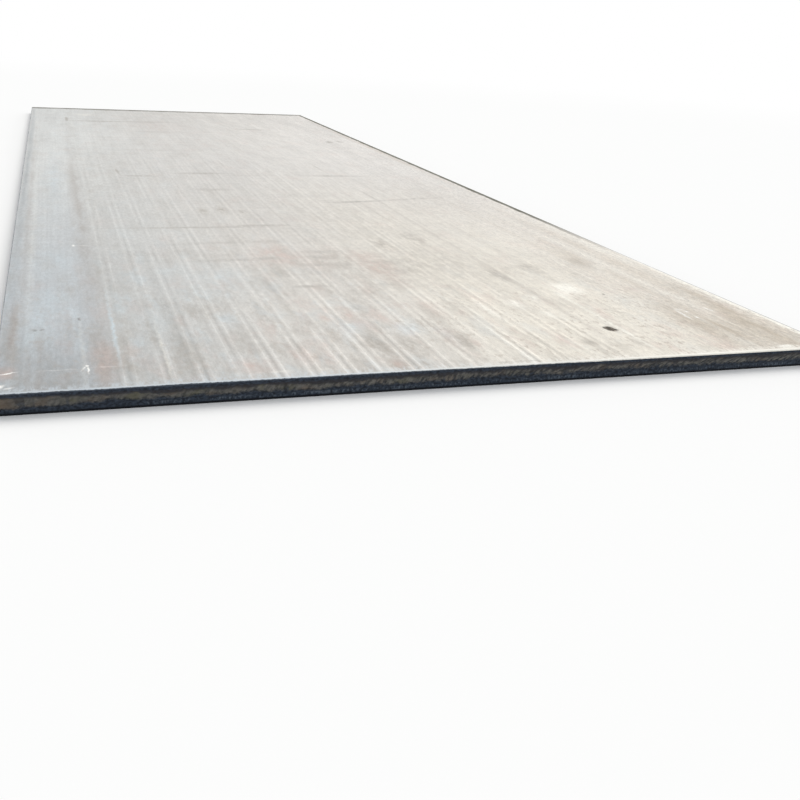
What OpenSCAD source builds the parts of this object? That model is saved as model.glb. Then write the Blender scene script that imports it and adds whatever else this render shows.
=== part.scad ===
// Steel plate: one flat piece of hot-rolled stock, cut to size with a shear on all four sides.
// Millimetres. X runs across the width, Y along the length and Z up through the thickness.
// The origin is the middle of the underside.

/* [Plate] */
// Length of the plate, along the rolling direction
plate_length = 6000; // [1000:50:12000]
// Width of the plate, across the rolling direction
plate_width = 2000; // [500:50:4000]
// Thickness of the plate
plate_thickness = 45; // [36:1:120]

/* [Sheared edge] */
// Radius of the upper arris, rolled over by the blade
rollover_radius = 3; // [1:0.5:4]
// Height of the smooth upper land, below the rolled-over arris
upper_land_height = 9; // [2:0.5:10]
// Height of the torn band, where the steel broke instead of being cut
torn_band_height = 16; // [6:0.5:18]
// Depth of the torn band behind the lands
torn_band_depth = 1; // [0.4:0.1:2]
// Radius of the lower arris
lower_arris_radius = 1; // [0.5:0.5:2]

/* [Hidden] */
// Segments of a full circle
$fn = 180;
mill_scale_grey = "#BDB7AE";
// Length by which each extruded section runs past the edges that trim it
overrun = 20;
// Height of the middle of the torn band above the underside
torn_band_middle = plate_thickness - rollover_radius - upper_land_height - torn_band_height / 2;
// Radius of the arc whose chord is the torn band's height and whose rise is its depth
torn_arc_radius = (pow(torn_band_height / 2, 2) + pow(torn_band_depth, 2)) / (2 * torn_band_depth);

// What an arris of this radius takes off a square corner at the origin that points to +X and +Y
module arris_waste(radius) {
    translate([-radius, -radius])
        difference() {
            square(2 * radius);
            circle(radius);
        }
}

// What the shear takes off the edge at the right-hand end of a section
module edge_waste(span) {
    translate([span / 2, plate_thickness])
        arris_waste(rollover_radius);
    translate([span / 2 + torn_arc_radius - torn_band_depth, torn_band_middle])
        circle(torn_arc_radius);
    translate([span / 2, 0])
        mirror([0, 1])
            arris_waste(lower_arris_radius);
}

// Section through the plate over one span, with a sheared edge at both ends
module sheared_section(span) {
    difference() {
        translate([-span / 2, 0])
            square([span, plate_thickness]);
        edge_waste(span);
        mirror([1, 0])
            edge_waste(span);
    }
}

// The section over one span, run along Y past both ends of the plate
module sheared_bar(span, run) {
    rotate([90, 0, 0])
        linear_extrude(height = run + 2 * overrun, center = true)
            sheared_section(span);
}

// Two crossing bars leave the plate, with the sheared edge mitred at its corners
module plate() {
    color(mill_scale_grey)
        intersection() {
            sheared_bar(plate_width, plate_length);
            rotate([0, 0, 90])
                sheared_bar(plate_length, plate_width);
        }
}

plate();
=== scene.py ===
"""Steel plate: a hot-rolled stock plate under mill scale, lying flat on a plain floor.

Metres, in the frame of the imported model: X runs across the width, Y along the length, which is the rolling
direction, and Z up. The origin is the middle of the underside, and the front end is at the lowest Y.
"""

from __future__ import annotations

import logging
import math
from collections.abc import Callable, Iterator, Sequence
from dataclasses import dataclass, field
from enum import Enum
from typing import Any

import bpy
from mathutils import Matrix, Vector

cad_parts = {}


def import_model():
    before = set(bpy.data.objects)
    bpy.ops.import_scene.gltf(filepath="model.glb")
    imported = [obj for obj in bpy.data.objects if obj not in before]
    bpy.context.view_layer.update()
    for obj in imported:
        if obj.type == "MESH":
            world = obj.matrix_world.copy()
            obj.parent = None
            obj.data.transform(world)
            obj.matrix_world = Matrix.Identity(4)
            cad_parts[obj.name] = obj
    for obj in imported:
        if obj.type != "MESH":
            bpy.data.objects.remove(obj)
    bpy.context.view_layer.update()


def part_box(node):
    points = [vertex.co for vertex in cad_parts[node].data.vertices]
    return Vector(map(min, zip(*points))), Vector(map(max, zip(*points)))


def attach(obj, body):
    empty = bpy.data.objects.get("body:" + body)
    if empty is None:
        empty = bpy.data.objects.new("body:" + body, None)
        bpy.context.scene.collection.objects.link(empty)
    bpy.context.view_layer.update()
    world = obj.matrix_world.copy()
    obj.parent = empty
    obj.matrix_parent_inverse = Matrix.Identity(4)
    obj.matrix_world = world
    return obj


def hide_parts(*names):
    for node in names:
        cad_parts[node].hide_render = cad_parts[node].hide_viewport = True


LOG = logging.getLogger("steel_plate")
EDGE_MAP = "edge_run"
WHITE = (1.0, 1.0, 1.0, 1.0)

# Sockets of a Mix node that mixes colours
MIX_SHARE = 0
MIX_FIRST = 6
MIX_SECOND = 7
MIX_RESULT = 2

# Half height of a mark, so tall that no mark fades across the thickness
MARK_HEIGHT = 1.0e3

# Level about which cloudy noise swings
NOISE_MIDDLE = 0.5

Socket = bpy.types.NodeSocket


class Tone(Enum):
    """Colours of the plate and its stage, as they are seen in plain light; some of the plate's tones also
    paint light and shade, as their comments say.
    """

    # Tones of the scale across the plate: their pale tone and their rise from the cool left to the warm
    # right are partly painted glare
    BLUE_STRIP = "#B3B8BC"
    FIELD_LEFT = "#BABBBA"
    FIELD_MIDDLE = "#CECAC4"
    FIELD_RIGHT = "#E0DACE"
    RIGHT_SIDE = "#D6CFC4"
    # Tones towards the back end, where the painted glare turns into an even, neutral sheen
    DUST_LEFT = "#CECFCD"
    DUST_MIDDLE = "#C4C2BF"
    DUST_RIGHT = "#CECBC8"
    DIRT = "#9A938A"
    BLUE_SHEEN = "#BFCCD3"
    BROWN_BAND = "#988F88"
    TAN_STREAK = "#B5A998"
    # Grey of the side rims; along the left side of the upper face it is painted shade
    GREY_RIM = "#959A9E"
    # Dark border along the back end and far along the right side
    BURNT_RIM = "#504E41"
    RUST_TINGE = "#BFA59B"
    RUB = "#9F9A93"
    FLECK = "#A89B8E"
    PIT = "#302617"
    PALE_SCALE = "#F3F0E6"
    SCRATCH = "#F8F7F3"
    # Painted highlight along the rolled-over arris, cool on the left and warm on the right
    ARRIS_LEFT = "#C0C9D0"
    ARRIS_RIGHT = "#F8F4EA"
    LAND = "#131922"
    LAND_LIGHT = "#343D4A"
    # Painted shadow along the bottom of the sheared edge
    UNDERCUT = "#070B12"
    TORN = "#42423F"
    TORN_LIGHT = "#6F6D69"
    TORN_RUST = "#6A5C4E"
    TORN_OLIVE = "#5E5C49"
    BAND_HAZE = "#352F2C"
    SPECKLE = "#616B76"
    FLOOR = "#FEFEFE"

    @property
    def linear(self) -> tuple[float, float, float, float]:
        """The tone in linear light, by the sRGB curve.

        Returns:
            Red, green and blue, with an alpha of 1.
        """
        parts = [int(self.value[start:start + 2], 16) / 255 for start in (1, 3, 5)]
        red, green, blue = (
            part / 12.92 if part <= 0.04045 else ((part + 0.055) / 1.055) ** 2.4 for part in parts
        )
        return red, green, blue, 1.0


# What fills an input of a node
Value = Socket | float | Sequence[float] | Tone


@dataclass(frozen=True)
class Fade:
    """A smooth passage between two levels, while a number goes from one limit to another.

    Attributes:
        first: Number at which the passage starts.
        last: Number at which it ends, above or below the first.
        start: Level before the passage.
        end: Level after it.
    """

    first: float
    last: float
    start: float = 0.0
    end: float = 1.0


# A level of 1 at every number
EVERYWHERE = Fade(0.0, 1.0, 1.0, 1.0)


@dataclass(frozen=True)
class Cloud:
    """Cloudy noise.

    Attributes:
        scale: Lumps per metre along each axis of the place.
        detail: Number of finer layers.
        roughness: Weight of each finer layer.
        lean_deg: Turn of the lumps about the third axis of the place.
    """

    scale: tuple[float, float, float]
    detail: float = 2.0
    roughness: float = 0.5
    lean_deg: float = 0.0


class NodeGraph:
    """The nodes of one material or world."""

    def __init__(self, tree: bpy.types.NodeTree) -> None:
        """Takes over a node tree and empties it.

        Args:
            tree: Node tree of the material or world.
        """
        self.tree = tree
        self.tree.nodes.clear()

    def feed(self, socket: Socket, value: Value) -> None:
        """Links a socket to another one, or sets it to a number, a vector or a tone.

        Args:
            socket: Input to fill.
            value: Socket, number, vector or tone that fills it.
        """
        if isinstance(value, bpy.types.NodeSocket):
            self.tree.links.new(value, socket)
        elif isinstance(value, Tone):
            socket.default_value = value.linear
        else:
            socket.default_value = value

    def add(self, kind: str, inputs: dict[str | int, Value], **settings: Any) -> bpy.types.Node:
        """Adds a node.

        Args:
            kind: Node type, without its ShaderNode prefix.
            inputs: Values of its inputs, by name or by number.
            settings: Properties of the node itself.

        Returns:
            The new node.
        """
        node = self.tree.nodes.new(f"ShaderNode{kind}")
        for name, setting in settings.items():
            setattr(node, name, setting)
        for key, value in inputs.items():
            self.feed(node.inputs[key], value)
        return node

    def math(self, operation: str, first: Value, second: Value = 0.0) -> Socket:
        """One step of arithmetic on two numbers."""
        return self.add("Math", {0: first, 1: second}, operation=operation).outputs[0]

    def seen_directly(self) -> Socket:
        """Share of a background that the camera, a reflection or a clear piece looks at.

        Returns:
            1 for such a ray and 0 for one that lights the scene.
        """
        path = self.add("LightPath", {}).outputs
        glossy = self.math("MAXIMUM", path["Is Camera Ray"], path["Is Glossy Ray"])
        return self.math("MAXIMUM", glossy, path["Is Transmission Ray"])


class ShaderGraph(NodeGraph):
    """The nodes of one material, with short calls for the patterns that the finishes share."""

    def __init__(self, name: str) -> None:
        """Starts a material with a Principled shader on its output.

        Args:
            name: Name of the material.
        """
        self.material = bpy.data.materials.new(name)
        self.material.use_nodes = True
        super().__init__(self.material.node_tree)
        self.shader = self.add("BsdfPrincipled", {})
        self.output = self.add("OutputMaterial", {"Surface": self.shader.outputs["BSDF"]})

    def surface(self, colour: Value, roughness: Value, gloss: float) -> None:
        """Gives the shader its looks.

        Args:
            colour: Colour of the surface.
            roughness: Roughness of the surface.
            gloss: Strength of its reflections.
        """
        self.feed(self.shader.inputs["Base Color"], colour)
        self.feed(self.shader.inputs["Roughness"], roughness)
        self.feed(self.shader.inputs["Specular IOR Level"], gloss)

    def relief(self, height: Socket, depth: float) -> None:
        """Lets the shader's normal follow a height.

        Args:
            height: Height, from about 0 to 1.
            depth: Real depth that a height of 1 stands for.
        """
        bump = self.add("Bump", {"Height": height, "Distance": depth})
        self.feed(self.shader.inputs["Normal"], bump.outputs[0])

    def place(self) -> Socket:
        """The point in the plate's own frame."""
        return self.add("TexCoord", {}).outputs["Object"]

    def edge_place(self) -> Socket:
        """The point on the sheared edge: its run along the edge and its height."""
        return self.add("UVMap", {}, uv_map=EDGE_MAP).outputs["UV"]

    def parts(self, vector: Socket) -> tuple[Socket, Socket, Socket]:
        """The three parts of a vector."""
        outputs = self.add("SeparateXYZ", {"Vector": vector}).outputs
        return outputs["X"], outputs["Y"], outputs["Z"]

    def total(self, *terms: Value) -> Value:
        """Adds some numbers up.

        Args:
            terms: Numbers to add, at least one.

        Returns:
            Their sum.
        """
        result = terms[0]
        for term in terms[1:]:
            result = self.math("ADD", result, term)
        return result

    def product(self, *factors: Value) -> Value:
        """Multiplies some numbers.

        Args:
            factors: Numbers to multiply, at least one.

        Returns:
            Their product.
        """
        result = factors[0]
        for factor in factors[1:]:
            result = self.math("MULTIPLY", result, factor)
        return result

    def blended(self, share: Value, first: Value, second: Value) -> Socket:
        """A number that passes from the first to the second.

        Args:
            share: Share of the second number.
            first: Number at a share of 0.
            second: Number at a share of 1.

        Returns:
            The blended number.
        """
        rest = self.math("SUBTRACT", 1.0, share)
        return self.total(self.product(first, rest), self.product(second, share))

    def between(
        self, value: Value, first: float, last: float, start: Value = 0.0, end: Value = 1.0
    ) -> Socket:
        """Passes smoothly from one level to another while a number goes from one limit to the other.

        Args:
            value: Number that is followed.
            first: Number at which the passage starts.
            last: Number at which it ends.
            start: Level before the passage.
            end: Level after it.

        Returns:
            The level.
        """
        inputs = {"Value": value, "From Min": first, "From Max": last, "To Min": start, "To Max": end}
        return self.add("MapRange", inputs, interpolation_type="SMOOTHSTEP").outputs[0]

    def fade(self, value: Value, fade: Fade) -> Socket:
        """The level that a number reaches on a fade."""
        return self.between(value, fade.first, fade.last, fade.start, fade.end)

    def cloud(self, place: Socket, cloud: Cloud) -> Socket:
        """Cloudy noise at a place, from about 0.2 to 0.8."""
        return self._noise(place, cloud).outputs[0]

    def shaken(self, place: Socket, cloud: Cloud, reach: float) -> Socket:
        """Shifts a place by noise, which makes the rims of what is drawn there ragged.

        Args:
            place: Place to shift.
            cloud: Noise that shifts it.
            reach: Length that the whole span of the noise stands for.

        Returns:
            The shifted place.
        """
        noise = self._noise(place, cloud).outputs["Color"]
        middle = (NOISE_MIDDLE, NOISE_MIDDLE, NOISE_MIDDLE)
        swing = self.add("VectorMath", {0: noise, 1: middle}, operation="SUBTRACT").outputs[0]
        shift = self.add("VectorMath", {0: swing, "Scale": reach}, operation="SCALE").outputs[0]
        return self.add("VectorMath", {0: place, 1: shift}, operation="ADD").outputs[0]

    def _noise(self, place: Socket, cloud: Cloud) -> bpy.types.Node:
        """Adds a noise.

        Args:
            place: Place at which the noise is read.
            cloud: Size and kind of its lumps.

        Returns:
            The noise node.
        """
        if cloud.lean_deg:
            turn = (0.0, 0.0, math.radians(cloud.lean_deg))
            place = self.add("Mapping", {"Vector": place, "Rotation": turn}).outputs[0]
        scaled = self.add("Mapping", {"Vector": place, "Scale": cloud.scale}).outputs[0]
        inputs = {"Vector": scaled, "Scale": 1.0, "Detail": cloud.detail, "Roughness": cloud.roughness}
        return self.add("TexNoise", inputs)

    def swing(self, noise: Socket, amount: float) -> Socket:
        """Noise as a swing about zero, of that amount each way."""
        return self.math("MULTIPLY", self.math("SUBTRACT", noise, NOISE_MIDDLE), 2 * amount)

    def ramp(self, value: Socket, stops: Sequence[tuple[float, float | Tone]]) -> Socket:
        """A level or a colour that follows a number along a row of stops.

        Args:
            value: Number from 0 to 1.
            stops: Place of each stop, in order, and its level or its tone.

        Returns:
            The level or the colour.
        """
        node = self.add("ValToRGB", {"Fac": value})
        node.color_ramp.interpolation = "EASE"
        elements = node.color_ramp.elements
        for _ in range(len(stops) - len(elements)):
            elements.new(1.0)
        for element, (at, stop) in zip(elements, stops):
            element.position = at
            element.color = stop.linear if isinstance(stop, Tone) else (stop, stop, stop, 1.0)
        return node.outputs["Color"]

    def mixed(self, share: Value, first: Value, second: Value) -> Socket:
        """A colour that passes from the first to the second.

        Args:
            share: Share of the second colour.
            first: Tone or colour socket.
            second: Tone or colour socket.

        Returns:
            The mixed colour.
        """
        inputs = {MIX_SHARE: share, MIX_FIRST: first, MIX_SECOND: second}
        return self.add("Mix", inputs, data_type="RGBA").outputs[MIX_RESULT]

    def lit(self, colour: Socket, change: Socket) -> Socket:
        """A colour made lighter or darker by a share of itself."""
        factor = self.math("ADD", change, 1.0)
        return self.add("VectorMath", {0: colour, "Scale": factor}, operation="SCALE").outputs[0]


@dataclass(frozen=True)
class FacePlace:
    """Where a point of the upper face or the underside lies.

    Attributes:
        point: The point in the plate's own frame.
        x: Place across the plate.
        across: The same, wavering a little from place to place.
        straight: The same, wavering slowly along the plate.
        along: Distance from the front end.
    """

    point: Socket
    x: Socket
    across: Socket
    straight: Socket
    along: Socket


@dataclass(frozen=True)
class Mark:
    """One long or round mark on the upper face, soft at its rim.

    Attributes:
        across: Place of its middle across the plate.
        along: Distance of its middle from the front end.
        width: Its size across the plate.
        length: Its size along the plate.
        strength: Share of its tone at its middle; past 1, its rim is harder.
        turn_deg: Turn about its middle.
    """

    across: float
    along: float
    width: float
    length: float
    strength: float = 1.0
    turn_deg: float = 0.0

    def mask(self, graph: ShaderGraph, place: Socket, front: float) -> Socket:
        """Strength of the mark at each point.

        Args:
            graph: Material that shows the mark.
            place: Point in the plate's frame.
            front: Y of the plate's front end.

        Returns:
            The strength at the middle of the mark, falling to 0 at its rim.
        """
        inputs = {
            "Vector": place,
            "Location": (self.across, front + self.along, 0.0),
            "Rotation": (0.0, 0.0, math.radians(self.turn_deg)),
            "Scale": (self.width / 2, self.length / 2, MARK_HEIGHT),
        }
        local = graph.add("Mapping", inputs, vector_type="TEXTURE").outputs[0]
        blob = graph.add("TexGradient", {"Vector": local}, gradient_type="SPHERICAL").outputs["Fac"]
        return graph.math("MULTIPLY", blob, self.strength)


@dataclass(frozen=True)
class MarkGroup:
    """Marks of one kind, which share a tone and the way that they break up.

    Attributes:
        tone: Colour of the marks.
        marks: The marks.
        patch_scale: Patches per metre across and along the plate.
        patchiness: Share of a mark that is missing between its patches.
        patch_detail: Number of finer layers in the patches.
        patch_roughness: Weight of each finer layer.
        bare_level: Level of the patches' noise at which a mark is weakest.
        whole_level: Level at which it is whole.
    """

    tone: Tone
    marks: tuple[Mark, ...]
    patch_scale: tuple[float, float] = (12.0, 12.0)
    patchiness: float = 0.5
    patch_detail: float = 4.0
    patch_roughness: float = 0.6
    bare_level: float = 0.35
    whole_level: float = 0.62

    def laid_on(self, graph: ShaderGraph, colour: Socket, place: Socket, front: float) -> Socket:
        """Lays the group's marks over a colour.

        Args:
            graph: Material that shows the marks.
            colour: Colour under the marks.
            place: Point in the plate's frame.
            front: Y of the plate's front end.

        Returns:
            The colour with the marks on it.
        """
        masks = [mark.mask(graph, place, front) for mark in self.marks]
        cloud = Cloud((*self.patch_scale, 1.0), self.patch_detail, self.patch_roughness)
        wear = Fade(self.bare_level, self.whole_level, 1.0 - self.patchiness)
        worn = graph.fade(graph.cloud(place, cloud), wear)
        return graph.mixed(graph.product(graph.total(*masks), worn), colour, self.tone)


@dataclass(frozen=True)
class Film:
    """Dirt, rust or the like that lies over the scale in patches.

    Attributes:
        tone: Colour of the film.
        layers: Clouds that its patches follow, each with the share that it gives the film.
        near: Strength along the plate, from the front end.
        side: Strength across the plate.
        shift: Shift of the clouds, which keeps films apart.
    """

    tone: Tone
    layers: tuple[tuple[Cloud, Fade], ...]
    near: Fade
    side: Fade
    shift: tuple[float, float, float] = (0.0, 0.0, 0.0)

    def laid_on(self, graph: ShaderGraph, colour: Socket, face: FacePlace) -> Socket:
        """Lays the film over a colour.

        Args:
            graph: Material that shows the film.
            colour: Colour under the film.
            face: Point of the face.

        Returns:
            The colour with the film on it.
        """
        place = graph.add("Mapping", {"Vector": face.point, "Location": self.shift}).outputs[0]
        shares = [graph.fade(graph.cloud(place, cloud), cover) for cloud, cover in self.layers]
        near = graph.fade(face.along, self.near)
        side = graph.fade(face.across, self.side)
        return graph.mixed(graph.product(*shares, near, side), colour, self.tone)


@dataclass(frozen=True)
class Streaks:
    """Light and dark streaks of one grain.

    Attributes:
        cloud: Grain of the streaks.
        amount: Change of brightness each way.
        reach: Strength along the plate, from the front end.
        side: Strength across the plate.
    """

    cloud: Cloud
    amount: float
    reach: Fade = EVERYWHERE
    side: Fade = EVERYWHERE

    def change(self, graph: ShaderGraph, face: FacePlace) -> Socket:
        """Change of brightness that the streaks make.

        Args:
            graph: Material that shows the streaks.
            face: Point of the face.

        Returns:
            The change, about 0.
        """
        swing = graph.swing(graph.cloud(face.point, self.cloud), self.amount)
        return graph.product(swing, graph.fade(face.along, self.reach), graph.fade(face.across, self.side))


@dataclass(frozen=True)
class SprayStripes:
    """Pairs of pale lines that the nozzles of the descaling spray left along the plate.

    Attributes:
        first: Place of the first line across the plate.
        last: Place at which the lines have faded on the right.
        pitch: Distance from one pair to the next.
        pair_gap: Distance between the two lines of a pair.
        line_width: Width of a line.
        bow: Shift of the middle lines at the front end.
        bow_reach: Distance from the front end over which they straighten.
        line_level: Level of a line.
        flank_level: Level of its two flanks.
        gap_level: Level between the lines of a pair.
        shade_level: Level just after a pair.
        next_shade_level: Level just before the next pair.
        strength: Change of brightness from the middle level to a line.
        left_start: Distance left of the first line at which the stripes start.
        left_end: Distance left of it at which they are whole.
        right_start: Place across the plate at which they start to fade.
        right_strength: Strength that is left on the right.
        fading: Shares of the plate's length, each with the strength that is left there.
        patches: Patches in which the stripes break up.
        patch_cover: Strength by the level of the patches.
    """

    first: float = -0.749
    last: float = 0.62
    pitch: float = 0.0745
    pair_gap: float = 0.023
    line_width: float = 0.008
    bow: float = 0.012
    bow_reach: float = 1.8
    line_level: float = 1.0
    flank_level: float = 0.62
    gap_level: float = 0.17
    shade_level: float = 0.46
    next_shade_level: float = 0.32
    strength: float = 0.17
    left_start: float = 0.02
    left_end: float = 0.008
    right_start: float = 0.1
    right_strength: float = 0.15
    fading: tuple[tuple[float, float], ...] = ((0.02, 1.0), (0.1, 0.62), (0.35, 0.36), (0.72, 0.05))
    patches: Cloud = Cloud((17.0, 2.2, 1.0), 4.0, 0.6)
    patch_cover: Fade = Fade(0.34, 0.62, 0.25, 1.4)

    def change(self, graph: ShaderGraph, face: FacePlace, length: float) -> Socket:
        """Change of brightness along the stripes, strongest at the front end and on the left.

        Args:
            graph: Material that shows the stripes.
            face: Point of the face.
            length: Length of the plate.

        Returns:
            The change, about 0.
        """
        across = face.straight
        reach = graph.product(
            graph.between(across, self.first - self.left_start, self.first - self.left_end),
            graph.between(across, self.right_start, self.last, 1.0, self.right_strength),
            graph.ramp(graph.math("DIVIDE", face.along, length), self.fading),
            graph.fade(graph.cloud(face.point, self.patches), self.patch_cover),
        )
        return graph.product(graph.swing(self._level(graph, face), self.strength), reach)

    def _level(self, graph: ShaderGraph, face: FacePlace) -> Socket:
        """Level of the stripes across the plate, 0.5 where they change nothing.

        Args:
            graph: Material that shows the stripes.
            face: Point of the face.

        Returns:
            The level, from 0 for the darkest shade beside a line to 1 for a line.
        """
        middle = (self.first + self.last) / 2
        half_span = (self.last - self.first) / 2
        share = graph.math("DIVIDE", graph.math("SUBTRACT", face.straight, middle), half_span)
        hump = graph.math("SUBTRACT", 1.0, graph.math("MULTIPLY", share, share))
        bow = graph.product(hump, graph.between(face.along, 0.0, self.bow_reach, self.bow, 0.0))
        place = graph.math("SUBTRACT", graph.math("SUBTRACT", face.straight, bow), self.first)
        phase = graph.math("FRACT", graph.math("DIVIDE", place, self.pitch))
        half = self.line_width / 2 / self.pitch
        pair = self.pair_gap / self.pitch
        stops = (
            (0.0, self.line_level),
            (half, self.flank_level),
            (pair / 2, self.gap_level),
            (pair - half, self.flank_level),
            (pair, self.line_level),
            (pair + half, self.flank_level),
            (pair + 3 * half, self.shade_level),
            (1.0 - 3 * half, self.next_shade_level),
            (1.0 - half, self.flank_level),
            (1.0, self.line_level),
        )
        return graph.ramp(phase, stops)


STREAM_MARKS = MarkGroup(
    Tone.BROWN_BAND,
    (
        Mark(-0.787, 1.7, 0.075, 5.8, 0.6),
        Mark(-0.785, 0.15, 0.06, 0.7, 0.4),
        Mark(-0.957, 2.0, 0.034, 7.0, 0.4),
        Mark(-0.972, 0.36, 0.028, 0.80, 1.0),
        Mark(-0.914, 0.20, 0.03, 0.70, 0.8),
        Mark(-0.934, 0.18, 0.02, 0.50, 0.6),
        Mark(0.04, 0.3, 0.04, 0.9, 0.4),
        Mark(0.165, 0.2, 0.016, 0.8, 0.2),
        Mark(0.014, 0.26, 0.014, 0.5, 0.8),
        Mark(0.43, 1.1, 0.03, 3.0, 0.5),
        Mark(0.342, 1.7, 0.02, 2.4, 0.3),
        Mark(0.562, 1.4, 0.03, 2.4, 0.25),
    ),
    patch_scale=(22.0, 4.0),
    patchiness=0.7,
)

TAN_MARKS = MarkGroup(
    Tone.TAN_STREAK,
    (
        Mark(0.902, 0.5, 0.07, 3.6, 0.6),
        Mark(0.932, 0.43, 0.05, 0.40, 1.1),
        Mark(0.780, 0.25, 0.24, 0.45, 0.45),
        Mark(0.860, 0.16, 0.20, 0.34, 0.45),
        Mark(0.942, 0.3, 0.04, 1.8, 0.3),
        Mark(0.960, 3.9, 0.07, 4.4, 0.6),
        Mark(0.775, 1.0, 0.09, 0.40, 0.8),
        Mark(0.806, 0.7, 0.04, 2.6, 0.4),
        Mark(0.742, 1.2, 0.03, 3.0, 0.25),
        Mark(0.9, 0.1, 0.5, 0.7, 0.5),
        Mark(0.74, 0.28, 0.18, 0.5, 0.3),
    ),
    patch_scale=(26.0, 5.0),
    patchiness=0.6,
)

# Grey band along the left side, painted shade where the left edge is lower, and grey patches near the front
# left corner
RIM_SHADE_MARKS = MarkGroup(
    Tone.GREY_RIM,
    (
        Mark(-0.983, 3.0, 0.044, 9.0, 0.75),
        Mark(-0.945, 0.26, 0.05, 0.60, 0.60),
        Mark(-0.900, 0.16, 0.09, 0.50, 0.50),
        Mark(-0.850, 0.12, 0.05, 0.34, 0.30),
    ),
    patch_scale=(30.0, 3.0),
    patchiness=0.35,
)

DIRT_MARKS = MarkGroup(
    Tone.DIRT,
    (
        Mark(-0.168, 0.20, 0.09, 0.28, 0.95),
        Mark(-0.093, 0.17, 0.07, 0.22, 0.90),
        Mark(-0.168, 0.05, 0.05, 0.08, 0.80),
        Mark(-0.100, 0.04, 0.03, 0.06, 0.90),
        Mark(0.058, 0.42, 0.06, 0.26, 0.50),
        Mark(0.052, 0.19, 0.06, 0.26, 0.90),
        Mark(-0.140, 0.497, 0.28, 0.05, 0.30),
        Mark(0.362, 0.135, 0.06, 0.10, 0.80),
        Mark(0.085, 0.022, 0.06, 0.020, 1.10),
        Mark(0.140, 0.022, 0.08, 0.018, 0.90),
        Mark(-0.730, 0.42, 0.06, 0.50, 0.40),
        Mark(-0.480, 0.26, 0.12, 0.26, 0.55),
        Mark(-0.665, 0.33, 0.05, 0.34, 0.45),
        Mark(0.150, 1.90, 1.50, 2.60, 0.22),
        Mark(-0.590, 0.22, 0.14, 0.34, 0.40),
        Mark(-0.668, 0.40, 0.02, 0.34, 0.70),
        Mark(-0.400, 0.16, 0.08, 0.26, 0.25),
        Mark(-0.620, 0.10, 0.16, 0.20, 0.40),
        Mark(-0.732, 0.12, 0.07, 0.44, 0.60),
        Mark(0.160, 0.92, 1.30, 0.70, 0.48),
        Mark(0.300, 1.50, 0.80, 1.20, 0.20),
        Mark(-0.600, 2.90, 0.45, 3.20, 0.25),
        Mark(-0.730, 2.00, 0.10, 5.00, 0.18),
        Mark(0.680, 2.20, 0.50, 1.80, 0.25),
        Mark(0.480, 0.11, 0.04, 0.10, 0.35),
        Mark(0.460, 0.47, 0.07, 0.18, 0.35),
        Mark(0.580, 0.40, 0.05, 0.30, 0.30),
        Mark(0.412, 0.80, 0.07, 0.18, 0.65),
        Mark(0.560, 0.90, 0.11, 0.24, 0.50),
        Mark(0.770, 0.94, 0.14, 0.24, 0.45),
        Mark(0.182, 1.27, 0.09, 0.28, 0.50),
        Mark(0.326, 1.35, 0.10, 0.30, 0.45),
        Mark(-0.338, 1.88, 0.05, 0.20, 0.75),
        Mark(-0.264, 1.91, 0.055, 0.22, 0.85),
        Mark(-0.190, 1.86, 0.04, 0.12, 0.75),
    ),
    patch_scale=(40.0, 14.0),
    patchiness=0.7,
)

RUST_MARKS = MarkGroup(
    Tone.RUST_TINGE,
    (
        Mark(-0.782, 0.17, 0.09, 0.36, 0.50),
        Mark(-0.720, 0.24, 0.05, 0.10, 0.35),
        Mark(-0.975, 0.12, 0.05, 0.12, 0.60),
        Mark(-0.480, 0.09, 0.13, 0.13, 0.60),
        Mark(-0.310, 0.225, 0.07, 0.10, 0.45),
        Mark(-0.375, 0.13, 0.04, 0.14, 0.50),
        Mark(-0.170, 0.44, 0.06, 0.22, 0.55),
        Mark(-0.090, 0.42, 0.05, 0.18, 0.60),
        Mark(-0.235, 0.43, 0.05, 0.10, 0.55),
        Mark(-0.285, 0.44, 0.03, 0.14, 0.45),
        Mark(-0.165, 0.05, 0.05, 0.08, 0.60),
        Mark(-0.590, 0.45, 0.04, 0.12, 0.40),
        Mark(0.770, 0.60, 0.10, 0.12, 0.40),
        Mark(0.070, 0.48, 0.08, 0.26, 0.40),
        Mark(0.300, 0.17, 0.04, 0.14, 0.45),
        Mark(0.070, 0.95, 0.15, 0.56, 0.60),
        Mark(-0.210, 1.16, 0.16, 0.40, 0.50),
        Mark(-0.150, 1.10, 0.60, 0.40, 0.20),
        Mark(-0.200, 4.90, 0.50, 0.90, 0.20),
    ),
    patch_scale=(34.0, 14.0),
    patchiness=0.75,
)

BLUE_MARKS = MarkGroup(
    Tone.BLUE_SHEEN,
    (
        Mark(-0.930, 0.42, 0.08, 0.50, 0.55),
        Mark(-0.966, 0.062, 0.03, 0.06, 1.0),
        Mark(-0.890, 0.62, 0.10, 0.50, 0.45),
        Mark(-0.735, 0.60, 0.05, 0.50, 0.40),
        Mark(-0.900, 1.10, 0.12, 0.60, 0.35),
        Mark(-0.870, 2.60, 0.10, 2.00, 0.45),
        Mark(-0.450, 0.85, 0.40, 0.60, 0.30),
        Mark(-0.640, 0.45, 0.16, 0.50, 0.30),
        Mark(0.135, 0.245, 0.06, 0.12, 0.25),
        Mark(-0.060, 0.300, 0.14, 0.14, 0.50),
        Mark(-0.190, 0.345, 0.18, 0.13, 0.35),
        Mark(0.670, 0.46, 0.12, 0.24, 0.20),
        Mark(-0.752, 0.430, 0.014, 0.8, 0.9),
        Mark(-0.485, 0.43, 0.06, 0.18, 0.45),
    ),
    patch_scale=(26.0, 9.0),
    patchiness=0.7,
)

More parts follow.
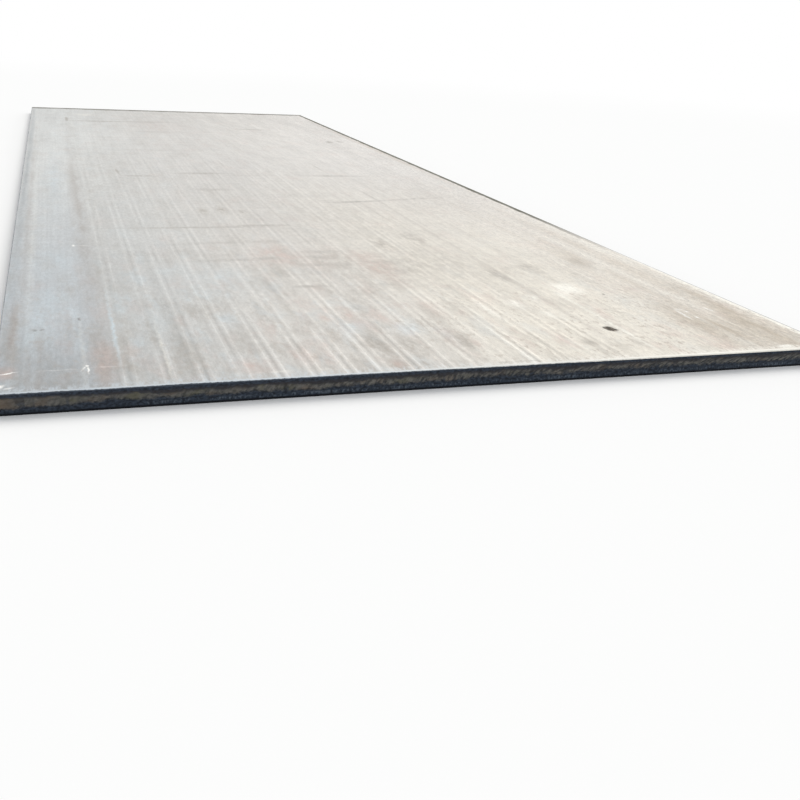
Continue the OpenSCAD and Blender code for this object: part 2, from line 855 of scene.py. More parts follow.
PALE_MARKS = MarkGroup(
    Tone.PALE_SCALE,
    (
        Mark(0.985, 0.3, 0.030, 1.9, 1.9),
        Mark(0.868, 0.025, 0.09, 0.034, 1.6),
        Mark(0.972, 2.0, 0.030, 2.2, 0.4),
        Mark(0.955, 1.15, 0.07, 1.2, 0.45),
        Mark(0.965, 0.045, 0.10, 0.06, 1.6),
        Mark(0.848, 0.7, 0.03, 2.6, 0.45),
        Mark(0.560, 0.63, 0.13, 0.16, 1.7),
        Mark(0.515, 0.57, 0.08, 0.12, 0.8),
        Mark(0.322, 0.495, 0.08, 0.11, 1.1),
        Mark(0.372, 0.385, 0.04, 0.09, 0.9),
        Mark(0.222, 0.450, 0.03, 0.22, 1.2),
        Mark(0.410, 0.550, 0.04, 0.06, 0.7),
        Mark(0.503, 0.280, 0.022, 0.9, 1.1),
        Mark(0.060, 0.080, 0.36, 0.14, 0.18),
        Mark(-0.430, 0.042, 0.06, 0.022, 0.5),
        Mark(-0.345, 0.040, 0.05, 0.018, 0.35),
        Mark(-0.655, 0.230, 0.012, 0.5, 0.6),
        Mark(0.697, 0.8, 0.02, 2.0, 0.4),
        Mark(0.810, 0.88, 0.06, 0.12, 0.5),
        Mark(-0.941, 1.4, 0.03, 3.0, 0.18),
        Mark(-0.824, 0.2, 0.016, 0.7, 0.2),
        Mark(-0.655, 5.53, 0.16, 0.2, 0.5),
    ),
    patch_scale=(25.0, 12.0),
    patchiness=0.6,
)

RUB_MARKS = MarkGroup(
    Tone.RUB,
    (
        Mark(-0.390, 1.573, 0.80, 0.045, 0.75, 1.0),
        Mark(-0.170, 1.602, 0.34, 0.045, 0.85, 1.8),
        Mark(0.310, 2.085, 0.30, 0.06, 1.0, 9.0),
        Mark(0.580, 2.152, 0.66, 0.05, 0.65, 15.0),
        Mark(-0.350, 1.318, 0.42, 0.06, 0.4, 5.0),
        Mark(-0.190, 1.328, 0.12, 0.08, 0.5),
        Mark(-0.340, 1.073, 0.34, 0.06, 0.5, 4.0),
        Mark(-0.235, 1.087, 0.11, 0.06, 0.6),
        Mark(-0.075, 1.086, 0.12, 0.07, 0.7),
        Mark(-0.100, 0.988, 0.24, 0.06, 0.6),
        Mark(0.120, 1.010, 0.22, 0.07, 0.45),
        Mark(-0.050, 1.166, 0.22, 0.07, 0.5),
        Mark(-0.190, 0.732, 0.14, 0.045, 0.8),
        Mark(0.040, 0.735, 0.14, 0.05, 0.4),
        Mark(-0.205, 2.845, 0.34, 0.08, 0.95, 4.0),
        Mark(-0.030, 2.794, 0.44, 0.06, 0.4),
        Mark(0.410, 2.800, 0.38, 0.08, 0.85),
        Mark(-0.230, 2.380, 0.20, 0.09, 0.8),
        Mark(-0.260, 4.550, 0.50, 0.09, 0.5),
        Mark(-0.330, 3.670, 0.60, 0.07, 0.4),
        Mark(-0.590, 2.880, 0.018, 0.28, 1.2, 3.0),
        Mark(-0.500, 2.750, 0.22, 0.06, 0.8),
        Mark(-0.774, 5.220, 0.026, 0.34, 1.9),
        Mark(-0.560, 5.115, 0.54, 0.11, 1.0, 2.0),
        Mark(-0.250, 5.148, 0.44, 0.13, 0.8, 3.0),
        Mark(0.400, 4.820, 0.28, 0.10, 0.9),
        Mark(0.410, 3.040, 0.02, 0.50, 0.6, 1.5),
        Mark(0.433, 2.180, 0.02, 0.90, 0.5, 1.7),
        Mark(0.770, 4.2, 0.06, 0.16, 1.6, -8.0),
        Mark(0.838, 4.23, 0.05, 0.12, 1.2, 14.0),
    ),
    patch_scale=(60.0, 14.0),
    patchiness=0.55,
)

PIT_MARKS = MarkGroup(
    Tone.PIT,
    (
        Mark(0.4745, 0.230, 0.036, 0.052, 3.4, 9.0),
        Mark(0.638, 0.555, 0.011, 0.034, 0.7, -14.0),
        Mark(-0.925, 0.408, 0.016, 0.024, 0.55),
        Mark(-0.909, 0.411, 0.014, 0.022, 0.5),
        Mark(-0.825, 0.487, 0.010, 0.036, 0.7),
    ),
    patch_scale=(150.0, 150.0),
    patchiness=0.1,
)

SCRATCH_MARKS = MarkGroup(
    Tone.SCRATCH,
    (
        Mark(-0.8245, 0.129, 0.006, 0.052, 0.9, -17.0),
        Mark(-0.8190, 0.143, 0.006, 0.014, 1.2),
        Mark(-0.8165, 0.116, 0.006, 0.066, 1.5, 2.0),
        Mark(-0.870, 0.124, 0.12, 0.008, 0.35, 3.0),
        Mark(-0.780, 0.130, 0.08, 0.008, 0.35, 1.0),
        Mark(-0.972, 0.117, 0.05, 0.010, 1.5, 18.0),
        Mark(-0.985, 0.040, 0.02, 0.04, 1.5, -35.0),
        Mark(-0.970, 0.030, 0.03, 0.015, 1.0, 20.0),
        Mark(0.760, 0.322, 0.014, 0.11, 1.2, -6.0),
        Mark(0.775, 0.375, 0.030, 0.03, 0.5),
        Mark(0.788, 0.352, 0.024, 0.020, 0.9),
        Mark(0.784, 0.296, 0.014, 0.026, 1.2),
        Mark(0.870, 0.365, 0.016, 0.06, 0.9, 10.0),
        Mark(-0.820, 1.304, 0.013, 0.045, 1.2),
        Mark(-0.790, 1.302, 0.06, 0.016, 0.25),
    ),
    patch_scale=(90.0, 60.0),
    patchiness=0.4,
)

UPPER_FACE_MARKS = (
    STREAM_MARKS,
    TAN_MARKS,
    RIM_SHADE_MARKS,
    DIRT_MARKS,
    RUST_MARKS,
    BLUE_MARKS,
    PALE_MARKS,
    RUB_MARKS,
    PIT_MARKS,
    SCRATCH_MARKS,
)

DIRT_FILM = Film(
    Tone.DIRT,
    ((Cloud((11.0, 3.5, 1.0), 8.0, 0.66), Fade(0.46, 0.68, 0.0, 0.55)),),
    near=Fade(0.1, 1.6, 1.0, 0.35),
    side=Fade(-0.3, 0.4, 1.0, 0.55),
)

RUST_FILM = Film(
    Tone.RUST_TINGE,
    ((Cloud((12.0, 4.5, 1.0), 6.0, 0.65), Fade(0.5, 0.7, 0.0, 0.4)),),
    near=Fade(0.0, 1.4, 1.0, 0.35),
    side=Fade(-0.8, 0.0, 0.6, 1.0),
    shift=(7.0, 3.0, 0.0),
)

SHEEN_FILM = Film(
    Tone.BLUE_SHEEN,
    ((Cloud((16.0, 5.0, 1.0), 6.0, 0.62), Fade(0.5, 0.68, 0.0, 0.3)),),
    near=Fade(0.2, 1.8, 1.0, 0.3),
    side=Fade(-0.8, 0.4, 1.3, 0.4),
    shift=(3.0, 8.0, 0.0),
)

# Small brown flecks, in crowds
FLECK_FILM = Film(
    Tone.FLECK,
    (
        (Cloud((95.0, 36.0, 1.0), 3.0, 0.6), Fade(0.51, 0.68, 0.0, 0.7)),
        (Cloud((9.0, 5.0, 1.0)), Fade(0.4, 0.6, 0.3, 1.0)),
    ),
    near=Fade(0.25, 1.1, 1.0, 0.15),
    side=Fade(-0.5, 0.6, 0.35, 1.0),
)

FINE_STREAKS = Streaks(Cloud((90.0, 1.2, 1.0), 3.0), 0.11)
BROAD_STREAKS = Streaks(Cloud((9.0, 0.5, 1.0)), 0.05)
CROSS_STREAKS = Streaks(Cloud((1.0, 16.0, 1.0), 3.0), 0.06)

# Strength of the far streaks across the plate
FAR_SIDE = Fade(-0.4, 0.5, 1.0, 1.8)
FAR_STREAKS = Streaks(Cloud((38.0, 6.0, 1.0), 4.0, 0.6), 0.11, Fade(0.4, 2.5), FAR_SIDE)
FARTHEST_STREAKS = Streaks(Cloud((10.0, 1.4, 1.0), 3.0), 0.10, Fade(1.0, 4.0), FAR_SIDE)

# Tones across the plate, by the share of its width; their pale tone and their rise from the cool left to the
# warm right are partly painted glare
SCALE_AND_GLARE_TONES = (
    (0.0, Tone.BLUE_STRIP),
    (0.1, Tone.BLUE_STRIP),
    (0.13, Tone.FIELD_LEFT),
    (0.42, Tone.FIELD_MIDDLE),
    (0.64, Tone.FIELD_RIGHT),
    (0.78, Tone.FIELD_RIGHT),
    (0.9, Tone.RIGHT_SIDE),
    (1.0, Tone.RIGHT_SIDE),
)
# Tones of the painted sheen towards the back end, by the share of the width
FAR_SHEEN_TONES = ((0.1, Tone.DUST_LEFT), (0.4, Tone.DUST_MIDDLE), (0.9, Tone.DUST_RIGHT))

# Passage across the plate from the left tone of worn steel and of the arris's painted highlight to the right
# one
WORN_STEEL_AND_HIGHLIGHT_SIDES = Fade(-0.5, 0.6)


def worn_steel_and_highlight(graph: ShaderGraph, across: Socket) -> Socket:
    """Colour of steel worn bright and of the arris's painted highlight, cool on the left of the plate and
    warm on the right.

    Args:
        graph: Material that shows the steel.
        across: Place across the plate.

    Returns:
        The colour.
    """
    return graph.mixed(graph.fade(across, WORN_STEEL_AND_HIGHLIGHT_SIDES), Tone.ARRIS_LEFT, Tone.ARRIS_RIGHT)


@dataclass(frozen=True)
class FaceRim:
    """Rim of a face: scale flaked off along the front, bright steel beside the arris, dark borders.

    Attributes:
        width: Width of the plate.
        length: Length of the plate.
        ragged: Swing of the rim's borders, by the speckle.
        flaked_reach: Share of flaked scale, by the distance from the front end.
        flaked_spots: Share of flaked scale, by the speckle.
        worn_reach: Share of bright steel, by the distance from the nearest arris.
        worn_retreat: Width that the bright steel loses on the right, by the distance from the front end.
        worn_growth: Width that it gains towards the right, as a negative distance.
        outer_reach: Share of a grey line on the right side, by the distance from it.
        outer_ragged: Share of the swing that it has.
        uneven: Noise along which the dark borders wander.
        wander: Swing of the dark border at the back end.
        dark_back: Share of the dark border at the back end, by the distance from it.
        dark_right: Share of the dark border on the right side, by the distance from it.
        dark_right_wander: Share of the wander that it has.
        dark_right_start: Strength of it, by the distance from the front end.
    """

    width: float
    length: float
    ragged: float = 0.008
    flaked_reach: Fade = Fade(0.045, 0.012)
    flaked_spots: Fade = Fade(0.42, 0.62, 0.0, 0.7)
    worn_reach: Fade = Fade(0.010, 0.005, 0.0, 0.9)
    worn_retreat: Fade = Fade(0.9, 1.8, 0.0, 0.02)
    worn_growth: Fade = Fade(0.3, 0.8, 0.0, -0.004)
    outer_reach: Fade = Fade(0.010, 0.006, 0.0, 0.6)
    outer_ragged: float = 0.3
    uneven: Cloud = Cloud((9.0, 9.0, 9.0), 3.0)
    wander: float = 0.05
    dark_back: Fade = Fade(0.11, 0.03)
    dark_right: Fade = Fade(0.032, 0.018)
    dark_right_wander: float = 0.2
    dark_right_start: Fade = Fade(0.9, 1.9)

    def laid_on(self, graph: ShaderGraph, colour: Socket, face: FacePlace, speckle: Socket) -> Socket:
        """Lays the rim over a colour.

        Args:
            graph: Material that shows the rim.
            colour: Colour under the rim.
            face: Point of the face.
            speckle: Noise that makes the rim ragged.

        Returns:
            The colour with the rim on it.
        """
        to_right = graph.math("SUBTRACT", self.width / 2, face.x)
        ragged = graph.swing(speckle, self.ragged)
        bright = worn_steel_and_highlight(graph, face.x)
        flaked = graph.product(
            graph.fade(face.along, self.flaked_reach),
            graph.fade(speckle, self.flaked_spots),
        )
        colour = graph.mixed(flaked, colour, bright)
        retreated = graph.total(to_right, graph.fade(face.along, self.worn_retreat))
        nearest = graph.math("MINIMUM", retreated, face.along)
        border = graph.total(nearest, ragged, graph.fade(face.x, self.worn_growth))
        colour = graph.mixed(graph.fade(border, self.worn_reach), colour, bright)
        outer = graph.total(to_right, graph.product(ragged, self.outer_ragged))
        colour = graph.mixed(graph.fade(outer, self.outer_reach), colour, Tone.GREY_RIM)
        return graph.mixed(self._dark_borders(graph, face, to_right, ragged), colour, Tone.BURNT_RIM)

    def _dark_borders(self, graph: ShaderGraph, face: FacePlace, to_right: Socket, ragged: Socket) -> Socket:
        """Share of the dark borders at the back end and far along the right side.

        Args:
            graph: Material that shows the borders.
            face: Point of the face.
            to_right: Distance from the right side.
            ragged: Swing of the borders.

        Returns:
            The share.
        """
        to_back = graph.math("SUBTRACT", self.length, face.along)
        wander = graph.swing(graph.cloud(face.point, self.uneven), self.wander)
        back = graph.fade(graph.total(to_back, ragged, wander), self.dark_back)
        right_border = graph.total(to_right, ragged, graph.product(wander, self.dark_right_wander))
        right = graph.product(
            graph.fade(right_border, self.dark_right),
            graph.fade(face.along, self.dark_right_start),
        )
        return graph.math("MAXIMUM", back, right)


@dataclass(frozen=True)
class MillScaleFinish:
    """Pale grey mill scale, streaked along the rolling direction and dirty towards the front end, with
    painted glare that lightens and warms it towards the right, a painted sheen towards the back end and
    painted shade in the front left corner.

    Attributes:
        name: Name of the material.
        width: Width of the plate.
        length: Length of the plate.
        groups: Marks on the scale, from the lowest group to the highest.
        films: Films on the scale, under the streaks.
        streaks: Light and dark streaks.
        stripes: Lines that the descaling spray left.
        waver: Noise by which places across the plate waver.
        waver_reach: Swing of that waver.
        slow_waver: Noise by which the stripes waver.
        slow_waver_reach: Swing of that waver.
        far_sheen: Share of the painted sheen, by the distance from the front end.
        mottle: Noise of the mottled scale.
        mottle_amount: Change of brightness that the mottle makes.
        far_shade: Change of brightness towards the back end.
        corner_painted_shade: Painted shade in the front left corner, by the distance from the front end.
        corner_side: Strength of it across the plate.
        shake: Noise that makes the rims of the marks ragged.
        shake_reach: Length that the whole span of that noise stands for.
        speckle: Noise of the coarse grain.
        speckle_amount: Change of brightness that the coarse grain makes.
        grain: Noise of the fine grain.
        grain_amount: Change of brightness that the fine grain makes.
        grain_side: Strength of both grains across the plate.
        roughness: Roughness of clean scale.
        mottle_roughness: Change of roughness that the mottle makes.
        stripe_roughness: Change of roughness by that of the stripes' brightness.
        stain_roughness: Change of roughness by the brightness of the colour.
        gloss: Strength of the reflections.
        grain_share: Share of the fine grain in the relief.
        grain_depth: Depth of the relief.
    """

    name: str
    width: float
    length: float
    groups: tuple[MarkGroup, ...] = ()
    films: tuple[Film, ...] = (DIRT_FILM, RUST_FILM, SHEEN_FILM)
    streaks: tuple[Streaks, ...] = (
        FINE_STREAKS,
        BROAD_STREAKS,
        CROSS_STREAKS,
        FAR_STREAKS,
        FARTHEST_STREAKS,
    )
    stripes: SprayStripes = SprayStripes()
    waver: Cloud = Cloud((2.0, 2.0, 2.0), 1.0)
    waver_reach: float = 0.012
    slow_waver: Cloud = Cloud((1.5, 0.3, 1.0), 1.0)
    slow_waver_reach: float = 0.006
    far_sheen: Fade = Fade(0.3, 3.2, 0.0, 0.85)
    mottle: Cloud = Cloud((14.0, 6.0, 1.0), 8.0, 0.68)
    mottle_amount: float = 0.17
    far_shade: Fade = Fade(4.2, 5.6, 0.0, -0.06)
    corner_painted_shade: Fade = Fade(0.5, 0.03, 0.0, -0.16)
    corner_side: Fade = Fade(-0.68, -0.86)
    shake: Cloud = Cloud((55.0, 55.0, 55.0), 3.0)
    shake_reach: float = 0.014
    speckle: Cloud = Cloud((110.0, 32.0, 1.0), 4.0, 0.75)
    speckle_amount: float = 0.28
    grain: Cloud = Cloud((480.0, 150.0, 1.0), 2.0, 0.7)
    grain_amount: float = 0.2
    grain_side: Fade = Fade(0.4, 0.9, 1.05, 2.1)
    roughness: float = 0.55
    mottle_roughness: float = 0.2
    stripe_roughness: float = -0.6
    stain_roughness: Fade = Fade(0.3, 0.05, 0.0, 0.22)
    gloss: float = 0.35
    grain_share: float = 0.4
    grain_depth: float = 0.0003

    def material(self) -> bpy.types.Material:
        """Builds the finish.

        Returns:
            The material.
        """
        graph = ShaderGraph(self.name)
        face = self._face(graph)
        mottle = graph.cloud(face.point, self.mottle)
        speckle = graph.cloud(face.point, self.speckle)
        grain = graph.cloud(face.point, self.grain)
        stripes = self.stripes.change(graph, face, self.length)

        colour = self._filmed_scale(graph, face)
        shading = self._shading(graph, face)
        colour = graph.lit(colour, graph.total(stripes, graph.swing(mottle, self.mottle_amount), shading))
        shaken = graph.shaken(face.point, self.shake, self.shake_reach)
        for group in self.groups:
            colour = group.laid_on(graph, colour, shaken, -self.length / 2)
        grains = graph.total(
            graph.swing(speckle, self.speckle_amount),
            graph.swing(grain, self.grain_amount),
        )
        colour = graph.lit(colour, graph.product(grains, graph.fade(face.across, self.grain_side)))
        colour = FLECK_FILM.laid_on(graph, colour, face)
        colour = FaceRim(self.width, self.length).laid_on(graph, colour, face, speckle)

        brightness = graph.add("RGBToBW", {"Color": colour}).outputs[0]
        roughness = graph.total(
            graph.swing(mottle, self.mottle_roughness),
            graph.product(stripes, self.stripe_roughness),
            self.roughness,
            graph.fade(brightness, self.stain_roughness),
        )
        graph.surface(colour, roughness, self.gloss)
        graph.relief(graph.blended(self.grain_share, speckle, grain), self.grain_depth)
        return graph.material

    def _face(self, graph: ShaderGraph) -> FacePlace:
        """Finds where a point of the face lies.

        Args:
            graph: Material of the face.

        Returns:
            The point, and its places across and along the plate.
        """
        point = graph.place()
        x, y, _ = graph.parts(point)
        waver = graph.swing(graph.cloud(point, self.waver), self.waver_reach)
        slow_waver = graph.swing(graph.cloud(point, self.slow_waver), self.slow_waver_reach)
        return FacePlace(
            point,
            x,
            across=graph.total(x, waver),
            straight=graph.total(x, slow_waver),
            along=graph.math("ADD", y, self.length / 2),
        )

    def _filmed_scale(self, graph: ShaderGraph, face: FacePlace) -> Socket:
        """Colour of the scale across the plate, under a painted sheen towards the back end and under its
        films.

        Args:
            graph: Material that shows the scale.
            face: Point of the face.

        Returns:
            The colour.
        """
        share = graph.math("DIVIDE", graph.math("ADD", face.across, self.width / 2), self.width)
        clean = graph.ramp(share, SCALE_AND_GLARE_TONES)
        # Painted sheen, stronger towards the back end
        colour = graph.mixed(graph.fade(face.along, self.far_sheen), clean, graph.ramp(share, FAR_SHEEN_TONES))
        for film in self.films:
            colour = film.laid_on(graph, colour, face)
        return colour

    def _shading(self, graph: ShaderGraph, face: FacePlace) -> Socket:
        """Change of brightness by the streaks and towards the back end, and painted shade in the front left
        corner.

        Args:
            graph: Material that shows the scale.
            face: Point of the face.

        Returns:
            The change, about 0.
        """
        # Painted shade in the front left corner
        corner = graph.product(
            graph.fade(face.along, self.corner_painted_shade),
            graph.fade(face.across, self.corner_side),
        )
        streaks = [streak.change(graph, face) for streak in self.streaks]
        return graph.total(*streaks, graph.fade(face.along, self.far_shade), corner)


@dataclass(frozen=True)
class ArrisFinish:
    """Painted highlight along the upper part of the rolled-over arris, above painted shade in the dark of
    the sheared edge on its lower part.

    Attributes:
        low: Height at which the arris starts.
        high: Height of the upper face.
        width: Width of the plate.
        length: Length of the plate.
        name: Name of the material.
        spots: Noise of the small spots.
        spot_amount: Change of brightness that the spots make.
        spot_sway: Swing of the highlight's border by the spots, as a share of the arris.
        runs: Noise of the long runs.
        run_amount: Change of brightness that the runs make.
        run_sway: Swing of the highlight's border by the runs, as a share of the arris.
        dark_right_start: Strength of the dark right side, by the distance from the front end.
        gain: Share of the arris by which the highlight's border sinks, across the plate.
        highlight_share: Share of the painted highlight, by the share of the arris below it; the rest is
            painted shade.
        roughness: Roughness of the steel.
        gloss: Strength of its reflections.
        spot_depth: Depth of the spots.
    """

    low: float
    high: float
    width: float
    length: float
    name: str = "arris_highlight"
    spots: Cloud = Cloud((110.0, 60.0, 110.0), 4.0, 0.7)
    spot_amount: float = 0.2
    spot_sway: float = 0.5
    runs: Cloud = Cloud((7.0, 7.0, 7.0), 3.0)
    run_amount: float = 0.12
    run_sway: float = 0.4
    dark_right_start: Fade = Fade(0.8, 1.8)
    gain: Fade = Fade(-0.4, 0.8, -0.2, 0.7)
    highlight_share: Fade = Fade(0.4, 0.75)
    roughness: float = 0.45
    gloss: float = 0.5
    spot_depth: float = 0.0003

    def material(self) -> bpy.types.Material:
        """Builds the finish.

        Returns:
            The material.
        """
        graph = ShaderGraph(self.name)
        place = graph.place()
        x, y, z = graph.parts(place)
        spots = graph.cloud(place, self.spots)
        runs = graph.cloud(place, self.runs)
        change = graph.total(graph.swing(spots, self.spot_amount), graph.swing(runs, self.run_amount))
        steel = graph.lit(self._steel(graph, x, y), change)
        risen = graph.math("DIVIDE", graph.math("SUBTRACT", z, self.low), self.high - self.low)
        border = graph.total(
            risen,
            graph.fade(x, self.gain),
            graph.swing(spots, self.spot_sway),
            graph.swing(runs, self.run_sway),
        )
        # Painted highlight on the upper part of the arris, painted shade in the land's tone on its lower
        # part
        colour = graph.mixed(graph.fade(border, self.highlight_share), Tone.LAND_LIGHT, steel)
        graph.surface(colour, self.roughness, self.gloss)
        graph.relief(spots, self.spot_depth)
        return graph.material

    def _steel(self, graph: ShaderGraph, x: Socket, y: Socket) -> Socket:
        """Colour of the arris's painted highlight, grey on the sides and dark at the back end and far on the
        right.

        Args:
            graph: Material that shows the steel.
            x: Place across the plate.
            y: Place along the plate.

        Returns:
            The colour.
        """
        depth = self.high - self.low
        beside = Fade(2 * depth, depth)
        to_right = graph.math("SUBTRACT", self.width / 2, x)
        to_side = graph.math("SUBTRACT", self.width / 2, graph.math("ABSOLUTE", x))
        to_back = graph.math("SUBTRACT", self.length / 2, y)
        along = graph.math("ADD", y, self.length / 2)
        steel = graph.mixed(graph.fade(to_side, beside), worn_steel_and_highlight(graph, x), Tone.GREY_RIM)
        right = graph.product(graph.fade(to_right, beside), graph.fade(along, self.dark_right_start))
        dark_share = graph.math("MAXIMUM", graph.fade(to_back, beside), right)
        return graph.mixed(dark_share, steel, Tone.BURNT_RIM)


@dataclass(frozen=True)
class EdgePlace:
    """Where a point of the sheared edge lies, with the noises that several of its looks follow.

    Attributes:
        point: The point on the edge, as its run and its height.
        run: Place along the edge.
        height: Height above the underside.
        corner: Distance from the front left corner.
        slow: Slow noise along the edge.
        ragged: Fine, toothed noise.
    """

    point: Socket
    run: Socket
    height: Socket
    corner: Socket
    slow: Socket
    ragged: Socket


@dataclass(frozen=True)
class TornBand:
    """Dull torn band of the sheared edge, where the steel broke instead of being cut.

    Attributes:
        low: Height of its lower border.
        high: Height of its upper border.
        soft: Half width of its soft borders.
        growth: Height by which each border moves outwards, along the edge.
        wander: Swing of the whole band, by the slow noise and by the ragged one.
        scallop: Noise of the borders' scallops.
        scallop_reach: Swing of the scallops.
        steep_tears: Noise of the tears on the left.
        steep_strength: Strength of these tears along the edge.
        flat_tears: Noise of the tears on the right.
        flat_share: Share of the tears on the right, along the edge.
        gap_limits: Levels of the tears between which the band comes to show whole.
        gap_strength: Strength of the band in the gaps between tears, along the edge.
        notches: Noise of the notches across the band.
        notch_cover: Strength of the band by that noise.
        corner_cover: Strength of the band, by the distance from the front left corner.
        ragged_share: Share of the ragged noise in the band's pattern.
        spread: Share of the light tone, by the pattern.
        lumps: Noise of the lumps.
        lump_amount: Change of brightness that the lumps make.
        blush: Noise of the tinges.
        olive_cover: Share of the olive tinge by that noise.
        olive_side: Strength of it along the edge.
        rust_cover: Share of the rusty tinge by that noise.
        rust_corner: Share of rust, by the distance from the front left corner.
    """

    low: float
    high: float
    soft: float = 0.0035
    growth: Fade = Fade(-0.78, -0.92, -0.0025, 0.0008)
    wander: float = 0.006
    scallop: Cloud = Cloud((38.0, 20.0, 1.0))
    scallop_reach: float = 0.007
    steep_tears: Cloud = Cloud((150.0, 60.0, 1.0), 3.0, lean_deg=38.0)
    steep_strength: Fade = Fade(-0.9, -0.2, 0.4, 1.0)
    flat_tears: Cloud = Cloud((240.0, 40.0, 1.0), 3.0, lean_deg=60.0)
    flat_share: Fade = Fade(-0.2, 0.6)
    gap_limits: tuple[float, float] = (0.38, 0.56)
    gap_strength: Fade = Fade(-0.75, 0.2, 0.85, 0.3)
    notches: Cloud = Cloud((46.0, 9.0, 1.0), 1.0)
    notch_cover: Fade = Fade(0.34, 0.42, 0.45, 1.0)
    corner_cover: Fade = Fade(0.004, 0.014)
    ragged_share: float = 0.35
    spread: Fade = Fade(0.33, 0.67)
    lumps: Cloud = Cloud((70.0, 120.0, 1.0))
    lump_amount: float = 0.4
    blush: Cloud = Cloud((16.0, 30.0, 1.0), 4.0)
    olive_cover: Fade = Fade(0.5, 0.34, 0.0, 0.6)
    olive_side: Fade = Fade(-0.3, 0.3, 1.0, 0.2)
    rust_cover: Fade = Fade(0.5, 0.7, 0.0, 0.5)
    rust_corner: Fade = Fade(0.06, 0.015, 0.0, 0.6)

    def inside(self, graph: ShaderGraph, edge: EdgePlace) -> Socket:
        """Finds what lies between the two wandering borders of the band.

        Args:
            graph: Material that shows the band.
            edge: Point of the edge.

        Returns:
            1 inside the band and 0 outside it.
        """
        wander = graph.total(graph.swing(edge.slow, self.wander), graph.swing(edge.ragged, self.wander))
        moved = graph.total(edge.height, wander)
        scallop = graph.swing(graph.cloud(edge.point, self.scallop), self.scallop_reach)
        growth = graph.total(graph.fade(edge.run, self.growth), scallop)
        above_low = graph.math("ADD", moved, growth)
        below_high = graph.math("SUBTRACT", moved, growth)
        return graph.product(
            graph.between(above_low, self.low - self.soft, self.low + self.soft),
            graph.between(below_high, self.high + self.soft, self.high - self.soft),
        )

    def tears(self, graph: ShaderGraph, edge: EdgePlace) -> Socket:
        """Slanting tears of the band, steep on the left and flatter on the right.

        Args:
            graph: Material that shows the tears.
            edge: Point of the edge.

        Returns:
            The level of the tears, about one half.
        """
        steep = graph.cloud(edge.point, self.steep_tears)
        steep = graph.blended(graph.fade(edge.run, self.steep_strength), NOISE_MIDDLE, steep)
        flat = graph.cloud(edge.point, self.flat_tears)
        return graph.blended(graph.fade(edge.run, self.flat_share), steep, flat)

    def shown(self, graph: ShaderGraph, edge: EdgePlace, inside: Socket, tears: Socket) -> Socket:
        """Share of the band that shows, which its gaps, its notches and the corner thin out.

        Args:
            graph: Material that shows the band.
            edge: Point of the edge.
            inside: 1 inside the band and 0 outside it.
            tears: Level of the tears.

        Returns:
            The share.
        """
        return graph.product(
            inside,
            graph.between(tears, *self.gap_limits, graph.fade(edge.run, self.gap_strength), 1.0),
            graph.fade(graph.cloud(edge.point, self.notches), self.notch_cover),
            graph.fade(edge.corner, self.corner_cover),
        )

    def colour(self, graph: ShaderGraph, edge: EdgePlace, tears: Socket) -> Socket:
        """Colour of the band, dull grey with olive and rusty tinges.

        Args:
            graph: Material that shows the band.
            edge: Point of the edge.
            tears: Level of the tears.

        Returns:
            The colour.
        """
        pattern = graph.blended(self.ragged_share, tears, edge.ragged)
        torn = graph.mixed(graph.fade(pattern, self.spread), Tone.TORN, Tone.TORN_LIGHT)
        torn = graph.lit(torn, graph.swing(graph.cloud(edge.point, self.lumps), self.lump_amount))
        blush = graph.cloud(edge.point, self.blush)
        olive = graph.product(graph.fade(blush, self.olive_cover), graph.fade(edge.run, self.olive_side))
        torn = graph.mixed(olive, torn, Tone.TORN_OLIVE)
        rusty = graph.total(graph.fade(blush, self.rust_cover), graph.fade(edge.corner, self.rust_corner))
        return graph.mixed(rusty, torn, Tone.TORN_RUST)


@dataclass(frozen=True)
class EdgeLand:
    """Smooth blue-black lands of the sheared edge, with a row of pale spots and a haze by the band.

    Attributes:
        spread: Share of the light tone, by the ragged noise.
        spots: Noise of the pale spots.
        slow_share: Share of the slow noise in them.
        spot_cover: Share of the spots by their noise.
        spot_height: Height of the row of spots.
        spot_reach: Share of the spots, by the distance from that height.
        spot_side: Strength of the spots along the edge.
        haze_reach: Height above the band over which the haze thins out.
        haze_share: Share of the haze beside the band.
        haze_inset: Height inside the band's borders between which the haze comes in.
    """

    spread: Fade = Fade(0.36, 0.64)
    spots: Cloud = Cloud((190.0, 110.0, 1.0), 3.0, 0.6)
    slow_share: float = 0.3
    spot_cover: Fade = Fade(0.47, 0.62)
    spot_height: float = 0.009
    spot_reach: Fade = Fade(0.006, 0.001)
    spot_side: Fade = Fade(-0.85, -0.6, 0.2, 0.75)
    haze_reach: float = 0.006
    haze_share: float = 0.6
    haze_inset: float = 0.004

    def colour(self, graph: ShaderGraph, edge: EdgePlace, band: TornBand) -> Socket:
        """Colour of the lands.

        Args:
            graph: Material that shows the lands.
            edge: Point of the edge.
            band: Torn band between the lands.

        Returns:
            The colour.
        """
        land = graph.mixed(graph.fade(edge.ragged, self.spread), Tone.LAND, Tone.LAND_LIGHT)
        away = graph.math("ABSOLUTE", graph.math("SUBTRACT", edge.height, self.spot_height))
        noise = graph.blended(self.slow_share, graph.cloud(edge.point, self.spots), edge.slow)
        spots = graph.product(
            graph.fade(away, self.spot_reach),
            graph.fade(noise, self.spot_cover),
            graph.fade(edge.run, self.spot_side),
        )
        land = graph.mixed(spots, land, Tone.SPECKLE)
        above = Fade(band.high + self.haze_reach, band.high, 0.0, self.haze_share)
        inside = Fade(band.low + self.haze_inset, band.high - self.haze_inset)
        haze = graph.product(graph.fade(edge.height, above), graph.fade(edge.height, inside))
        return graph.mixed(haze, land, Tone.BAND_HAZE)


